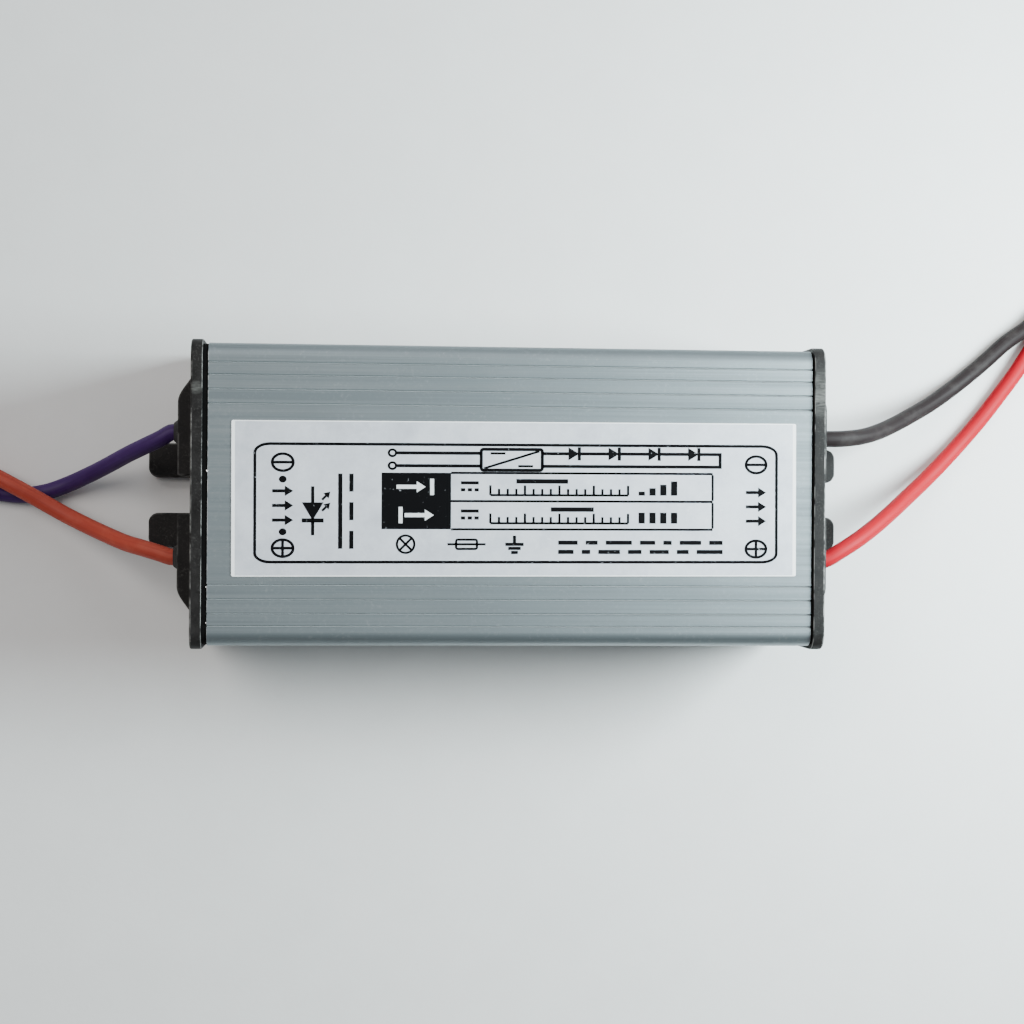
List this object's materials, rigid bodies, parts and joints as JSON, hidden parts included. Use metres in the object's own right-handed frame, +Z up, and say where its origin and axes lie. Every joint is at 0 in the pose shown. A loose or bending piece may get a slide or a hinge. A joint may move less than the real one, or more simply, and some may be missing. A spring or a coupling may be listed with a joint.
{
  "type": "led driver",
  "caption": "Sealed direct-current LED driver in a grooved aluminium extrusion, with black end caps, forked screw-down feet and coloured flying leads at both ends.",
  "frame": {"origin": "middle of the base, on the surface that the case lies on", "axes": "+X along the case from the input end to the output end, +Y across it towards the negative leads, +Z up out of the labelled face"},
  "size_m": [0.2809, 0.0792, 0.0346],
  "materials": {
    "case_aluminium": "satin",
    "cap_plastic": "matte",
    "gasket_rubber": "matte",
    "screw_steel": "satin",
    "label_film": "satin",
    "grommet_rubber": "matte",
    "blue_insulation": "satin",
    "orange_insulation": "satin",
    "black_insulation": "satin",
    "red_insulation": "satin",
    "tie_plastic": "satin",
    "board_laminate": "satin",
    "insulating_film": "matte",
    "solder_metal": "satin",
    "capacitor_sleeve": "satin",
    "core_coating": "matte",
    "ferrite": "matte",
    "copper_wire": "satin",
    "moulding_compound": "matte",
    "spreader_aluminium": "satin",
    "thermal_silicone": "matte",
    "fuse_body": "matte",
    "chip_ceramic": "matte"
  },
  "bodies": {
    "root": {"housing": "case_aluminium", "input_end_cap": "cap_plastic", "output_end_cap": "cap_plastic", "input_gasket": "gasket_rubber", "output_gasket": "gasket_rubber", "end_cap_screws": "screw_steel", "transistor_screws": "screw_steel", "rating_label": "label_film", "input_negative_grommet": "grommet_rubber", "input_positive_grommet": "grommet_rubber", "output_negative_grommet": "grommet_rubber", "output_positive_grommet": "grommet_rubber", "input_negative_lead": "blue_insulation", "input_positive_lead": "orange_insulation", "input_lead_coil": "orange_insulation", "output_negative_lead": "black_insulation", "output_positive_lead": "red_insulation", "output_lead_coil": "red_insulation", "input_coil_tie": "tie_plastic", "output_coil_tie": "tie_plastic", "circuit_board": "board_laminate", "insulating_sheet": "insulating_film", "lead_solder_joints": "solder_metal", "input_capacitor_a": "capacitor_sleeve", "input_capacitor_b": "capacitor_sleeve", "output_capacitor_a": "capacitor_sleeve", "output_capacitor_b": "capacitor_sleeve", "inductor_core": "core_coating", "choke_core": "ferrite", "inductor_winding": "copper_wire", "choke_winding": "copper_wire", "power_mosfet": "moulding_compound", "rectifier_diode": "moulding_compound", "protection_diode": "moulding_compound", "controller_chip": "moulding_compound", "sense_amplifier_chip": "moulding_compound", "sense_resistors": "moulding_compound", "heat_spreader": "spreader_aluminium", "thermal_pad": "thermal_silicone", "input_fuse": "fuse_body", "chip_components": "chip_ceramic"}
  },
  "joints": []
}
